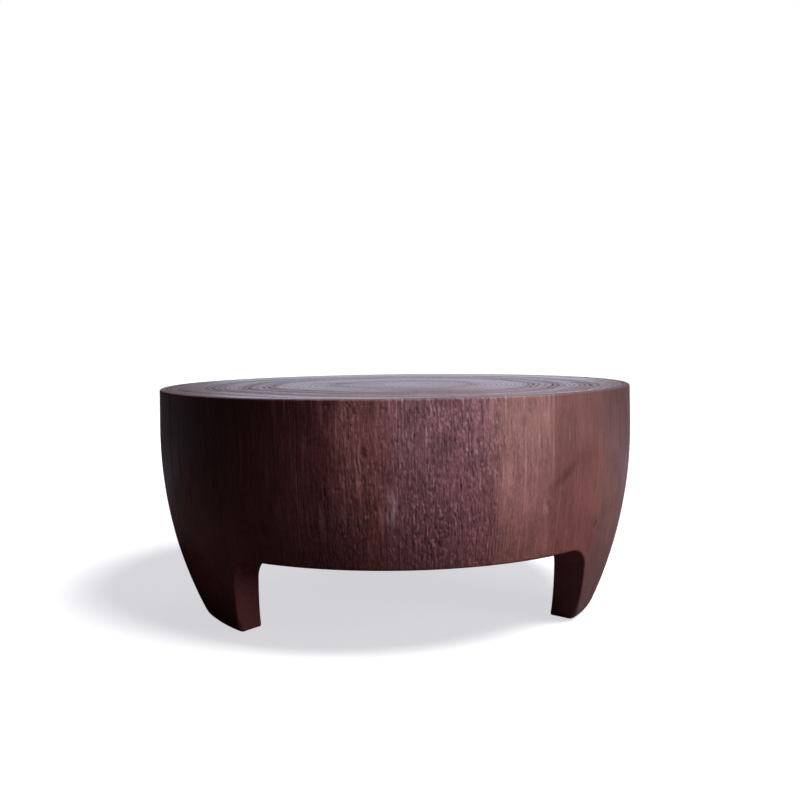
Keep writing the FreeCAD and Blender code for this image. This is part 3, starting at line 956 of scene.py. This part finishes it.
def slab_upper_side():
    """Upper shell of the slab: a disc on rings of points round its middle, with the growth rings
    as relief and a softened edge, closed by a flat face at mid-height. Returns the points, the
    faces, and the dark and the pale share of the points on rings."""
    top, radius, middle = TABLE_HEIGHT, SLAB_RADIUS, SLAB_MIDDLE
    share = np.concatenate([np.linspace(0, INNER_SHARE, INNER_RINGS)[1:],
                            np.linspace(INNER_SHARE, 1, OUTER_RINGS)[1:]])[:, None]
    turn = np.linspace(0, 2 * math.pi, SLAB_TURNS + 1)[None]
    reach = (radius - 0.0016) * share * np.ones_like(turn)
    depth, dark, late = ring_relief(reach * np.cos(turn), reach * np.sin(turn))
    height = top - depth * ease((radius - reach) / 0.004 + 0.2)
    edge = np.array([[radius - 0.0005, top - 0.0005], [radius, top - 0.0018], [radius, middle]])
    reach = np.concatenate([reach, edge[:, :1] * np.ones_like(turn)])
    height = np.concatenate([height, edge[:, 1:] * np.ones_like(turn)])
    points = np.stack([reach * np.cos(turn), reach * np.sin(turn), height], axis=-1)
    rows = len(points)
    faces = grid_faces(rows, SLAB_TURNS + 1, False)[:, ::-1]
    hub = rows * (SLAB_TURNS + 1)
    i = np.arange(SLAB_TURNS)
    outer = (rows - 1) * (SLAB_TURNS + 1) + i
    fans = np.concatenate([np.stack([np.full_like(i, hub), i, i + 1], axis=-1),
                           np.stack([np.full_like(i, hub + 1), outer + 1, outer], axis=-1)])
    points = np.concatenate([points.reshape(-1, 3), [[0, 0, top - 0.0004], [0, 0, middle]]])
    dark, late = (np.concatenate([field, np.repeat(field[-1:], len(edge), axis=0)]).ravel()
                  for field in (dark, late))
    return points, faces.tolist() + fans.tolist(), dark, late


def slab_underside(sizes):
    """Lower shell of the slab. A closed line in the plane across the grooves runs along the
    underside with both dovetails and back at mid-height; every point of it is carried along X for
    the chord of the disc at its place."""
    seat, span = SEAT_HEIGHT, SLAB_RADIUS - EDGE_CLEARANCE
    neck, flare, tall = sizes.groove_neck, sizes.groove_flare, sizes.groove_depth
    places = [float(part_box(name)[0][1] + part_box(name)[1][1]) / 2 for name in BATTENS]
    curve = (span * np.cos(np.linspace(0, CURVE_REACH, CURVE_POINTS))).tolist()
    between = np.linspace(places[0] + neck, places[1] - neck, FLAT_POINTS)[1:-1].tolist()
    grooves = [[(place - neck, seat), (place - neck - flare, seat + tall),
                (place + neck + flare, seat + tall), (place + neck, seat)] for place in places]
    line = [(-y, seat) for y in curve] + grooves[0] + [(y, seat) for y in between]
    line += grooves[1] + [(y, seat) for y in reversed(curve)]
    under = np.array(line)
    over = under[::-1].copy()
    over[:, 1] = SLAB_MIDDLE
    loop = np.concatenate([under, over])
    along = np.linspace(-1, 1, UNDERSIDE_STATIONS)[None]
    ones = np.ones_like(along)
    chord = np.sqrt(np.maximum(SLAB_RADIUS ** 2 - loop[:, :1] ** 2, 0))
    points = np.stack([chord * along, loop[:, :1] * ones, loop[:, 1:] * ones], axis=-1)
    faces = grid_faces(len(loop), UNDERSIDE_STATIONS, True)
    i = np.arange(len(under) - 1)
    last = len(loop) - 1
    ladder = np.stack([i, i + 1, last - 1 - i, last - i], axis=-1)
    ends = np.concatenate([ladder[:, ::-1] * UNDERSIDE_STATIONS,
                           ladder * UNDERSIDE_STATIONS + UNDERSIDE_STATIONS - 1])
    return points.reshape(-1, 3), np.concatenate([faces, ends])


class DRUM_OT_slab(bpy.types.Operator):
    """Builds the cross-cut top slab: two closed shells that meet at mid-height"""
    bl_idname = "drum.slab"
    bl_label = "Top slab"

    def execute(self, context):
        sizes, tones = context.scene.drum_sizes, context.scene.drum_tones
        upper_points, faces, dark, late = slab_upper_side()
        lower_points, lower_faces = slab_underside(sizes)
        points = np.concatenate([upper_points, lower_points])
        faces = faces + (lower_faces + len(upper_points)).tolist()
        piece = new_piece("cross_cut_slab", points, faces)
        plain = len(points) - len(dark)
        x, y, height = points.T
        px, py = x - PITH[0], y - PITH[1]
        # Painted shade: the colour of the top is made darker towards its left side, where less
        # light falls, along a line bent by noise.
        across = x + 0.04 * PAINTED_SHADE_SWING.over(x, y)
        set_attribute(piece, "ring", np.concatenate([dark, np.full(plain, 0.35)]))
        set_attribute(piece, "late", np.concatenate([late, np.zeros(plain)]))
        set_attribute(piece, "polar", np.stack([np.arctan2(py, px) * 0.2, np.hypot(px, py),
                                                height], axis=-1))
        set_attribute(piece, "shade", 0.52 + 0.60 * ease((across + 0.30) / 0.40))
        show_as(piece, "top_slab", slab_wood(tones))
        return {"FINISHED"}


# Joinery and pads keep the solids' own form

def dress(names, material):
    """Puts a material on solids of the part, which stay as they are."""
    for name in names:
        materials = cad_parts[name].data.materials
        materials.clear()
        materials.append(material)


class DRUM_OT_battens(bpy.types.Operator):
    """Finishes the two battens under the slab"""
    bl_idname = "drum.battens"
    bl_label = "Battens"

    def execute(self, context):
        tones = context.scene.drum_tones
        dress(BATTENS, plain_wood("planed batten wood", tones.inner, "x", tones))
        return {"FINISHED"}


class DRUM_OT_buttons(bpy.types.Operator):
    """Finishes the buttons that hold the slab down"""
    bl_idname = "drum.buttons"
    bl_label = "Buttons"

    def execute(self, context):
        tones = context.scene.drum_tones
        dress(BUTTONS, plain_wood("planed button wood", tones.inner, "y", tones))
        return {"FINISHED"}


class DRUM_OT_tongues(bpy.types.Operator):
    """Finishes the tongues in the seams and the pegs"""
    bl_idname = "drum.tongues"
    bl_label = "Tongues and pegs"

    def execute(self, context):
        tones = context.scene.drum_tones
        dress(TONGUES + ["button_pegs"],
              plain_wood("split hardwood", tones.bare, "z", tones, roughness=0.7))
        return {"FINISHED"}


class DRUM_OT_pads(bpy.types.Operator):
    """Finishes the felt pads"""
    bl_idname = "drum.pads"
    bl_label = "Felt pads"

    def execute(self, context):
        dress(PADS, pad_felt(context.scene.drum_tones))
        return {"FINISHED"}


# Studio

FLOOR_HALF = 30.0
SUN_DISTANCE = 4.0
REAR_PLACE = (0.32, 3.0, 1.15)
REAR_SIZE = (1.9, 2.2)
SENSOR_WIDTH = 36.0


def new_lamp(name, kind, energy, place, target):
    """Lamp of the stage, which stands at a place and looks at a point."""
    lamp = bpy.data.objects.new(name, bpy.data.lights.new(name, kind))
    bpy.context.scene.collection.objects.link(lamp)
    lamp.data.energy = energy
    lamp.location = place
    lamp.rotation_euler = (Vector(target) - lamp.location).to_track_quat("-Z", "Y").to_euler()
    return lamp


def round_the_table(distance, azimuth, height):
    """Place at a distance from the table's axis and a height above the floor."""
    return distance * math.sin(azimuth), -distance * math.cos(azimuth), height


def studio_world(strength, tint):
    """Surroundings that the camera sees white and all other rays see dim."""
    world = bpy.data.worlds.new("studio")
    world.use_nodes = True
    nodes, links = world.node_tree.nodes, world.node_tree.links
    dim = nodes["Background"]
    dim.inputs["Strength"].default_value = strength
    dim.inputs["Color"].default_value = (*tint, 1.0)
    white = nodes.new("ShaderNodeBackground")
    white.inputs["Color"].default_value = (1.0, 1.0, 1.0, 1.0)
    path = nodes.new("ShaderNodeLightPath")
    mix = nodes.new("ShaderNodeMixShader")
    links.new(path.outputs["Is Camera Ray"], mix.inputs[0])
    links.new(dim.outputs[0], mix.inputs[1])
    links.new(white.outputs[0], mix.inputs[2])
    links.new(mix.outputs[0], nodes["World Output"].inputs["Surface"])
    return world


def studio_camera(values):
    """Camera that looks level at the table's axis, rolled a little, with a shift of the frame."""
    camera = bpy.data.objects.new("camera", bpy.data.cameras.new("camera"))
    bpy.context.scene.collection.objects.link(camera)
    camera.data.lens = values.lens
    camera.data.sensor_width = SENSOR_WIDTH
    camera.data.shift_x = values.shift_x
    camera.data.shift_y = values.shift_y
    turn = (Matrix.Rotation(values.camera_azimuth, 4, "Z")
            @ Matrix.Rotation(math.radians(90.0), 4, "X")
            @ Matrix.Rotation(values.camera_roll, 4, "Z"))
    camera.matrix_world = Matrix.Translation(round_the_table(
        values.camera_distance, values.camera_azimuth, values.camera_height)) @ turn
    return camera


class DRUM_OT_stage(bpy.types.Operator):
    """Sets up the floor, the lamps and the camera"""
    bl_idname = "drum.stage"
    bl_label = "Studio"

    def execute(self, context):
        scene, values = context.scene, context.scene.drum_studio
        corners = FLOOR_HALF * np.array([[-1, -1, 0], [1, -1, 0], [1, 1, 0], [-1, 1, 0]])
        floor = new_piece("studio_floor", corners, [[0, 1, 2, 3]])
        floor.data.materials.append(studio_floor())
        for name, strength, elevation in (
                ("key_lamp", values.key_strength, values.key_elevation),
                ("fill_lamp", values.fill_strength, values.fill_elevation)):
            place = round_the_table(SUN_DISTANCE * math.cos(elevation), values.key_azimuth,
                                    SUN_DISTANCE * math.sin(elevation))
            sun = new_lamp(name, "SUN", strength, place, (0, 0, 0))
            sun.data.angle = values.key_spread
        rear = new_lamp("rear_lamp", "AREA", values.rear_power, REAR_PLACE, (0, 0, 0.36))
        rear.data.shape = "RECTANGLE"
        rear.data.size, rear.data.size_y = REAR_SIZE
        rear.data.color = values.rear_tint
        rear.visible_camera = False
        scene.world = studio_world(values.ambient, values.ambient_tint)
        scene.camera = studio_camera(values)
        scene.view_settings.view_transform = "Standard"
        return {"FINISHED"}


class DRUM_PT_panel(bpy.types.Panel):
    """Lists the values and the pieces of the drum table"""
    bl_label = "Drum table"
    bl_idname = "DRUM_PT_panel"
    bl_space_type = "VIEW_3D"
    bl_region_type = "UI"
    bl_category = "Drum table"

    def draw(self, context):
        for group in GROUPS:
            box = self.layout.box()
            values = getattr(context.scene, group)
            for name in values.__annotations__:
                box.prop(values, name)
        for operator in OPERATORS:
            self.layout.operator(operator.bl_idname)


GROUPS = {"drum_sizes": DrumSizes, "drum_tones": WoodTones, "drum_studio": StudioValues}
OPERATORS = (DRUM_OT_staves, DRUM_OT_slab, DRUM_OT_battens, DRUM_OT_buttons, DRUM_OT_tongues,
             DRUM_OT_pads, DRUM_OT_stage)
CLASSES = (*GROUPS.values(), *OPERATORS, DRUM_PT_panel)


def register():
    for item in CLASSES:
        bpy.utils.register_class(item)
    for name, group in GROUPS.items():
        setattr(bpy.types.Scene, name, PointerProperty(type=group))


def unregister():
    for name in GROUPS:
        delattr(bpy.types.Scene, name)
    for item in reversed(CLASSES):
        bpy.utils.unregister_class(item)


def main():
    register()
    bpy.ops.drum.staves()
    bpy.ops.drum.slab()
    bpy.ops.drum.battens()
    bpy.ops.drum.buttons()
    bpy.ops.drum.tongues()
    bpy.ops.drum.pads()
    bpy.ops.drum.stage()


if __name__ == "__main__":
    main()
